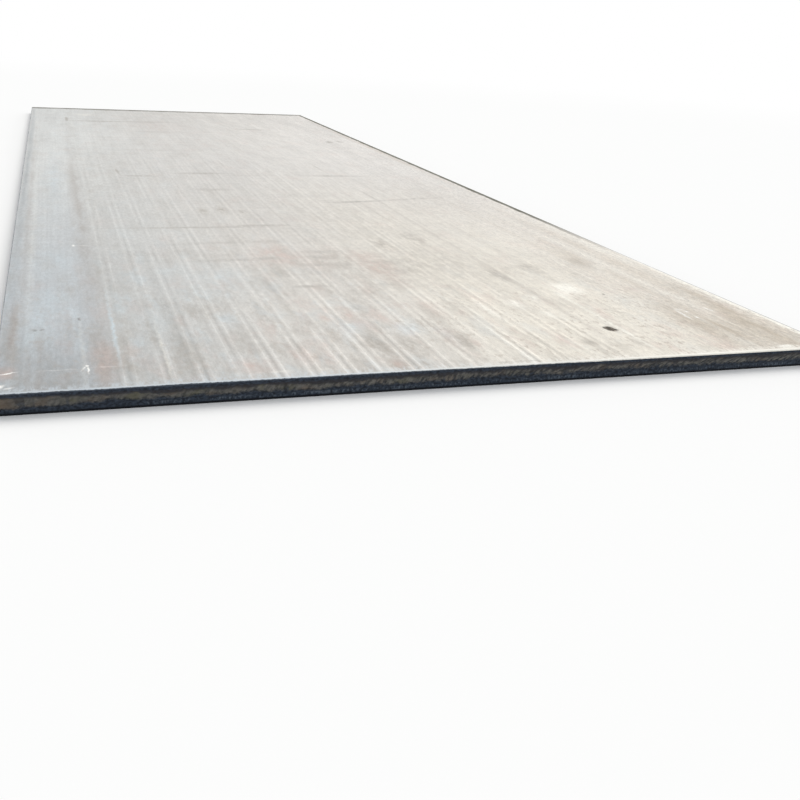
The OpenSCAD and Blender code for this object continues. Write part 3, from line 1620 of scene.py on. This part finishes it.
@dataclass(frozen=True)
class ShearedEdgeFinish:
    """Dark sheared edge: smooth lands above and below a torn band, with a painted shadow along its bottom.

    Attributes:
        band: The torn band.
        width: Width of the plate.
        land: The lands.
        name: Name of the material.
        slow: Slow noise along the edge.
        ragged: Fine, toothed noise.
        bottom_shadow: Share of the painted shadow along the bottom of the edge, by the height.
        roughness: Roughness of the lands.
        band_roughness: Roughness that the band adds.
        gloss: Strength of the reflections.
        land_relief: Strength of the relief on the lands.
        tear_depth: Depth of the relief in the band.
    """

    band: TornBand
    width: float
    land: EdgeLand = EdgeLand()
    name: str = "sheared_edge"
    slow: Cloud = Cloud((7.0, 7.0, 1.0))
    ragged: Cloud = Cloud((120.0, 200.0, 1.0), 4.0, 0.65)
    bottom_shadow: Fade = Fade(0.007, 0.0028)
    roughness: float = 0.6
    band_roughness: float = 0.2
    gloss: float = 0.2
    land_relief: float = 0.2
    tear_depth: float = 0.0012

    def material(self) -> bpy.types.Material:
        """Builds the finish.

        Returns:
            The material.
        """
        graph = ShaderGraph(self.name)
        edge = self._edge(graph)
        inside = self.band.inside(graph, edge)
        tears = self.band.tears(graph, edge)
        shown = self.band.shown(graph, edge, inside, tears)
        land = self.land.colour(graph, edge, self.band)
        colour = graph.mixed(shown, land, self.band.colour(graph, edge, tears))
        # Painted shadow along the bottom of the edge
        colour = graph.mixed(graph.fade(edge.height, self.bottom_shadow), colour, Tone.UNDERCUT)
        roughness = graph.total(self.roughness, graph.product(inside, self.band_roughness))
        graph.surface(colour, roughness, self.gloss)
        strength = graph.between(inside, 0.0, 1.0, self.land_relief, 1.0)
        graph.relief(graph.product(graph.total(tears, edge.ragged), strength), self.tear_depth)
        return graph.material

    def _edge(self, graph: ShaderGraph) -> EdgePlace:
        """Finds where a point of the edge lies.

        Args:
            graph: Material of the edge.

        Returns:
            The point, its places along and up the edge, and the noises there.
        """
        point = graph.edge_place()
        run, height, _ = graph.parts(point)
        return EdgePlace(
            point,
            run,
            height,
            corner=graph.math("ABSOLUTE", graph.math("ADD", run, self.width / 2)),
            slow=graph.cloud(point, self.slow),
            ragged=graph.cloud(point, self.ragged),
        )


@dataclass(frozen=True)
class EdgeProfile:
    """Section of the sheared edge, from the upper face down to the underside.

    Attributes:
        thickness: Thickness of the plate.
        rollover_radius: Radius of the upper arris.
        upper_land: Height of the smooth upper land.
        torn_height: Height of the torn band.
        torn_depth: Depth of the torn band behind the lands.
        torn_rim: Height inside the torn band's borders that its relief leaves alone.
        lower_arris: Radius of the lower arris.
        rollover_steps: Rows of the upper arris.
        upper_rows: Rows of the upper land.
        torn_rows: Rows of the torn band.
        lower_rows: Rows of the lower land.
    """

    thickness: float
    rollover_radius: float = 0.003
    upper_land: float = 0.009
    torn_height: float = 0.016
    torn_depth: float = 0.001
    torn_rim: float = 0.001
    lower_arris: float = 0.001
    rollover_steps: int = 4
    upper_rows: int = 2
    torn_rows: int = 6
    lower_rows: int = 3

    @property
    def arris_low(self) -> float:
        """Height at which the upper arris starts."""
        return self.thickness - self.rollover_radius

    @property
    def torn_high(self) -> float:
        """Height of the torn band's upper border."""
        return self.arris_low - self.upper_land

    @property
    def torn_low(self) -> float:
        """Height of the torn band's lower border."""
        return self.torn_high - self.torn_height

    def rows(self) -> Iterator[tuple[float, float]]:
        """Rows of the edge below the border of the upper face.

        Yields:
            Distance of the row inside the plate's outline, and its height.
        """
        radius = self.rollover_radius
        for step in range(1, self.rollover_steps + 1):
            turn = math.pi / 2 * step / self.rollover_steps
            yield radius - radius * math.sin(turn), self.arris_low + radius * math.cos(turn)
        for step in range(1, self.upper_rows + 1):
            yield 0.0, self.torn_high + self.upper_land * (1 - step / self.upper_rows)
        for step in range(1, self.torn_rows + 1):
            share = step / self.torn_rows
            yield self.torn_depth * 4 * share * (1 - share), self.torn_high - self.torn_height * share
        for step in range(1, self.lower_rows + 1):
            share = step / self.lower_rows
            yield 0.0, self.lower_arris + (self.torn_low - self.lower_arris) * (1 - share)
        slope = self.lower_arris * (1 - math.sqrt(0.5))
        yield slope, slope
        yield self.lower_arris, 0.0

    def border_share(self, height: float) -> float:
        """Nearness to the torn band's upper border, 1 on it and 0 past the upper land or the band.

        Args:
            height: Height on the edge.

        Returns:
            The nearness.
        """
        reach = self.upper_land if height > self.torn_high else self.torn_height
        return max(0.0, 1.0 - abs(height - self.torn_high) / reach)

    def torn_share(self, height: float) -> float:
        """1 inside the torn band and 0 elsewhere."""
        return 1.0 if self.torn_low + self.torn_rim < height < self.torn_high - self.torn_rim else 0.0

    def land_share(self, height: float) -> float:
        """Distance from the arrises, 0 on them and 1 from half an upper land's height away.

        Args:
            height: Height on the edge.

        Returns:
            The distance, at most 1.
        """
        inside = min(height - self.lower_arris, self.arris_low - height)
        return min(1.0, max(0.0, 2 * inside / self.upper_land))


class ReliefWay(Enum):
    """Ways in which a relief moves the surface."""

    UP_AND_DOWN = "Z"
    IN_AND_OUT = "NORMAL"


@dataclass(frozen=True)
class Relief:
    """Cloudy relief of part of the sheared edge.

    Attributes:
        name: Name of the relief.
        way: Way in which it moves the surface.
        lump: Size of its lumps.
        strength: Movement from the lowest to the highest noise.
        layers: Number of finer layers.
    """

    name: str
    way: ReliefWay
    lump: float
    strength: float
    layers: int = 3


BORDER_RELIEF = Relief("band_border", ReliefWay.UP_AND_DOWN, lump=0.045, strength=0.008)
TORN_RELIEF = Relief("torn_band", ReliefWay.IN_AND_OUT, lump=0.009, strength=0.0020)
LAND_RELIEF = Relief("edge_land", ReliefWay.IN_AND_OUT, lump=0.03, strength=0.0006)


class PlateSlot(Enum):
    """Material slots of the plate's mesh."""

    UPPER_FACE = 0
    ARRIS = 1
    EDGE = 2
    UNDERSIDE = 3


@dataclass
class RolledPlate:
    """The plate: a flat slab with a sheared edge on all four sides.

    Attributes:
        low: Lowest corner of the plate's box.
        high: Highest corner of the plate's box.
        name: Name of the piece.
        cell: Size of the faces of the upper face and the underside.
        column: Width of the faces of the edge.
        merge_distance: Distance within which points are merged.
        level_slope: Upward part of a face's normal past which the face is level.
        smooth_angle_deg: Angle between faces up to which their edge is smoothed.
        profile: Section of the edge.
        piece: The piece, once it is begun.
    """

    low: Vector
    high: Vector
    name: str = "rolled_plate"
    cell: float = 0.05
    column: float = 0.004
    merge_distance: float = 1.0e-5
    level_slope: float = 0.999
    smooth_angle_deg: float = 35.0
    profile: EdgeProfile = field(init=False)
    piece: bpy.types.Object | None = field(init=False, default=None)

    def __post_init__(self) -> None:
        """Takes the section of the edge from the plate's thickness."""
        self.profile = EdgeProfile(self.thickness)

    @property
    def width(self) -> float:
        """Width of the plate."""
        return self.high.x - self.low.x

    @property
    def length(self) -> float:
        """Length of the plate."""
        return self.high.y - self.low.y

    @property
    def thickness(self) -> float:
        """Thickness of the plate."""
        return self.high.z - self.low.z

    def build(self) -> bpy.types.Object:
        """Models the plate, gives it its relief and dresses it.

        Returns:
            The finished piece, on the plate's body.
        """
        self.piece = self._upper_grid()
        self._edges_and_underside()
        self._edge_map()
        self._slots()
        self._displace(BORDER_RELIEF, self.profile.border_share)
        self._displace(TORN_RELIEF, self.profile.torn_share)
        self._displace(LAND_RELIEF, self.profile.land_share)
        self._dress()
        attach(self.piece, "root")
        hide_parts("plate")
        return self.piece

    def _grow(self, from_inset: float, to_inset: float, rise: float) -> None:
        """Moves the selected border in or out and up or down.

        Args:
            from_inset: Distance of the border inside the plate's outline.
            to_inset: Distance that it goes to.
            rise: Height that it goes up.
        """
        factors = [(side / 2 - to_inset) / (side / 2 - from_inset) for side in (self.width, self.length)]
        bpy.ops.transform.resize(value=(*factors, 1.0), center_override=(0.0, 0.0, 0.0))
        bpy.ops.transform.translate(value=(0.0, 0.0, rise))

    def _upper_grid(self) -> bpy.types.Object:
        """Adds the flat of the upper face as a grid with a fine border.

        Returns:
            The object, in edit mode, with the border selected.
        """
        deselect_all()
        bpy.ops.mesh.primitive_grid_add(
            x_subdivisions=round(self.width / self.cell),
            y_subdivisions=round(self.length / self.cell),
            size=1.0,
        )
        piece = bpy.context.object
        piece.name = self.name
        piece.data.name = self.name
        bpy.ops.object.mode_set(mode="EDIT")
        inset = self.profile.rollover_radius
        flat = (self.width - 2 * inset, self.length - 2 * inset, 1.0)
        bpy.ops.transform.resize(value=flat, center_override=(0.0, 0.0, 0.0))
        bpy.ops.transform.translate(value=(0.0, 0.0, self.thickness))
        bpy.ops.mesh.select_mode(type="EDGE")
        bpy.ops.mesh.region_to_loop()
        bpy.ops.mesh.subdivide(number_cuts=round(self.cell / self.column) - 1)
        return piece

    def _edges_and_underside(self) -> None:
        """Copies the upper face down as the underside, and draws the edge out row by row between them."""
        inset = self.profile.rollover_radius
        bpy.ops.mesh.select_all(action="SELECT")
        bpy.ops.mesh.duplicate()
        self._grow(inset, self.profile.lower_arris, -self.thickness)
        bpy.ops.mesh.flip_normals()
        bpy.ops.mesh.hide(unselected=False)
        bpy.ops.mesh.select_all(action="SELECT")
        bpy.ops.mesh.region_to_loop()
        height = self.thickness
        for to_inset, to_height in self.profile.rows():
            bpy.ops.mesh.extrude_edges_move()
            self._grow(inset, to_inset, to_height - height)
            inset, height = to_inset, to_height
        bpy.ops.mesh.reveal(select=False)
        bpy.ops.mesh.select_all(action="SELECT")
        bpy.ops.mesh.remove_doubles(threshold=self.merge_distance)
        bpy.ops.mesh.normals_make_consistent(inside=False)
        bpy.ops.object.mode_set(mode="OBJECT")

    def _edge_map(self) -> None:
        """Maps the edge: its run round the plate and its height, before any relief moves it."""
        mesh = self.piece.data
        layer = mesh.uv_layers.new(name=EDGE_MAP)
        # The sides run on from two widths past the ends, so that no pattern comes twice
        side_start = 2 * self.width
        for face in mesh.polygons:
            sideways = abs(face.normal.x) > abs(face.normal.y)
            way = 1 if face.normal.x - face.normal.y > 0 else -1
            for loop in face.loop_indices:
                point = mesh.vertices[mesh.loops[loop].vertex_index].co
                run = point.y + side_start if sideways else point.x
                layer.data[loop].uv = (run * way, point.z)

    def _slots(self) -> None:
        """Sorts the faces into the material slots by their height and slope."""
        for face in self.piece.data.polygons:
            if face.normal.z > self.level_slope:
                slot = PlateSlot.UPPER_FACE
            elif face.normal.z < -self.level_slope:
                slot = PlateSlot.UNDERSIDE
            elif face.center.z > self.profile.arris_low:
                slot = PlateSlot.ARRIS
            else:
                slot = PlateSlot.EDGE
            face.material_index = slot.value

    def _displace(self, relief: Relief, share_at: Callable[[float], float]) -> None:
        """Gives part of the surface a relief.

        Args:
            relief: The relief.
            share_at: Share of the movement at a height.
        """
        group = self.piece.vertex_groups.new(name=relief.name)
        for vertex in self.piece.data.vertices:
            share = share_at(vertex.co.z)
            if share > 0.0:
                group.add([vertex.index], share, "REPLACE")
        texture = bpy.data.textures.new(relief.name, type="CLOUDS")
        texture.noise_scale = relief.lump
        texture.noise_depth = relief.layers
        modifier = self.piece.modifiers.new(relief.name, "DISPLACE")
        modifier.texture = texture
        modifier.texture_coords = "LOCAL"
        modifier.direction = relief.way.value
        modifier.vertex_group = relief.name
        modifier.mid_level = NOISE_MIDDLE
        modifier.strength = relief.strength
        bpy.ops.object.modifier_apply(modifier=relief.name)

    def _dress(self) -> None:
        """Gives each slot its finish and smooths the round surfaces."""
        sides = (self.width, self.length)
        band = TornBand(self.profile.torn_low, self.profile.torn_high)
        finishes = {
            PlateSlot.UPPER_FACE: MillScaleFinish("mill_scale_upper", *sides, UPPER_FACE_MARKS),
            PlateSlot.ARRIS: ArrisFinish(self.profile.arris_low, self.thickness, *sides),
            PlateSlot.EDGE: ShearedEdgeFinish(band, self.width),
            PlateSlot.UNDERSIDE: MillScaleFinish("mill_scale_under", *sides),
        }
        for slot in PlateSlot:
            self.piece.data.materials.append(finishes[slot].material())
        bpy.ops.object.shade_smooth_by_angle(angle=math.radians(self.smooth_angle_deg))


@dataclass
class Studio:
    """Plain floor, soft light and the camera.

    Attributes:
        floor_size: Side of the floor.
        floor_roughness: Roughness of the floor.
        floor_white: Share of plain white on the floor, by the distance from the plate's middle.
        sky_colour: Colour of the soft light from all sides.
        sky_strength: Strength of that light.
        key_colour: Colour of the key lamp.
        key_strength: Strength of the key lamp.
        key_width_deg: Angle under which the lamp is seen from the plate.
        key_height_deg: Height of the lamp above the floor.
        key_side_deg: Turn of the lamp from behind the plate to its right.
        key_place: Place of the lamp's holder.
        camera_place: Place of the camera.
        yaw_deg: Turn of the view from the plate's length to the right.
        pitch_deg: Slope of the view downwards.
        roll_deg: Turn of the picture.
        lens_mm: Focal length.
        sensor_mm: Width of the sensor.
        view_end: Distance up to which the camera sees.
    """

    floor_size: float = 160.0
    floor_roughness: float = 0.9
    floor_white: Fade = Fade(6.0, 12.0)
    sky_colour: tuple[float, float, float, float] = (0.96, 0.98, 1.0, 1.0)
    sky_strength: float = 0.67
    key_colour: tuple[float, float, float] = (1.0, 0.97, 0.92)
    key_strength: float = 1.5
    key_width_deg: float = 40.0
    key_height_deg: float = 46.0
    key_side_deg: float = 26.0
    key_place: tuple[float, float, float] = (0.0, 0.0, 5.0)
    camera_place: tuple[float, float, float] = (-0.851, -4.882, 0.741)
    yaw_deg: float = 19.82
    pitch_deg: float = 20.855
    roll_deg: float = 3.488
    lens_mm: float = 43.95
    sensor_mm: float = 36.0
    view_end: float = 300.0

    def build(self) -> None:
        """Sets the stage up."""
        self._floor()
        self._world()
        self._key()
        self._camera()
        bpy.context.scene.view_settings.view_transform = "Standard"

    def _floor(self) -> None:
        """Lays a pale floor that passes into the white of the background far from the plate."""
        deselect_all()
        bpy.ops.mesh.primitive_plane_add(size=self.floor_size)
        floor = bpy.context.object
        floor.name = "floor"
        graph = ShaderGraph("pale_floor")
        graph.surface(Tone.FLOOR, self.floor_roughness, 0.0)
        glow = graph.add("Emission", {"Color": WHITE, "Strength": 1.0}).outputs[0]
        away = graph.add("VectorMath", {0: graph.place()}, operation="LENGTH").outputs["Value"]
        share = graph.product(graph.fade(away, self.floor_white), graph.seen_directly())
        mix = graph.add("MixShader", {0: share, 1: graph.shader.outputs[0], 2: glow})
        graph.feed(graph.output.inputs["Surface"], mix.outputs[0])
        floor.data.materials.append(graph.material)

    def _world(self) -> None:
        """Surrounds the plate with soft light from all sides, seen as plain white."""
        world = bpy.data.worlds.new("soft_room")
        bpy.context.scene.world = world
        world.use_nodes = True
        graph = NodeGraph(world.node_tree)
        sky = {"Color": self.sky_colour, "Strength": self.sky_strength}
        light = graph.add("Background", sky).outputs[0]
        white = graph.add("Background", {"Color": WHITE, "Strength": 1.0}).outputs[0]
        mix = graph.add("MixShader", {0: graph.seen_directly(), 1: light, 2: white})
        graph.add("OutputWorld", {"Surface": mix.outputs[0]})

    def _key(self) -> None:
        """Lights the plate evenly with one wide soft lamp, from behind it and from its right."""
        lamp = bpy.data.lights.new("key", type="SUN")
        lamp.energy = self.key_strength
        lamp.angle = math.radians(self.key_width_deg)
        lamp.color = self.key_colour
        holder = bpy.data.objects.new("key", lamp)
        bpy.context.scene.collection.objects.link(holder)
        turn = Matrix.Rotation(-math.radians(self.key_side_deg), 4, "Z")
        tilt = Matrix.Rotation(-math.radians(90.0 - self.key_height_deg), 4, "X")
        holder.matrix_world = Matrix.Translation(self.key_place) @ turn @ tilt

    def _camera(self) -> None:
        """Places the camera where the photograph was taken from."""
        data = bpy.data.cameras.new("camera")
        data.lens = self.lens_mm
        data.sensor_width = self.sensor_mm
        data.clip_end = self.view_end
        camera = bpy.data.objects.new("camera", data)
        bpy.context.scene.collection.objects.link(camera)
        turn = (
            Matrix.Rotation(-math.radians(self.yaw_deg), 4, "Z")
            @ Matrix.Rotation(math.radians(90.0 - self.pitch_deg), 4, "X")
            @ Matrix.Rotation(math.radians(self.roll_deg), 4, "Z")
        )
        camera.matrix_world = Matrix.Translation(self.camera_place) @ turn
        bpy.context.scene.camera = camera


def deselect_all() -> None:
    """Leaves nothing selected, in object mode."""
    if bpy.context.object is not None and bpy.context.object.mode != "OBJECT":
        bpy.ops.object.mode_set(mode="OBJECT")
    bpy.ops.object.select_all(action="DESELECT")


def main() -> None:
    """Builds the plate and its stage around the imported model."""
    logging.basicConfig(level=logging.INFO, format="%(name)s: %(message)s")
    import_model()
    low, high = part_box("plate")
    plate = RolledPlate(low, high)
    piece = plate.build()
    LOG.info("%s: %d faces", piece.name, len(piece.data.polygons))
    Studio().build()
    LOG.info("stage: floor, sky, key lamp and camera")


if __name__ == "__main__":
    main()
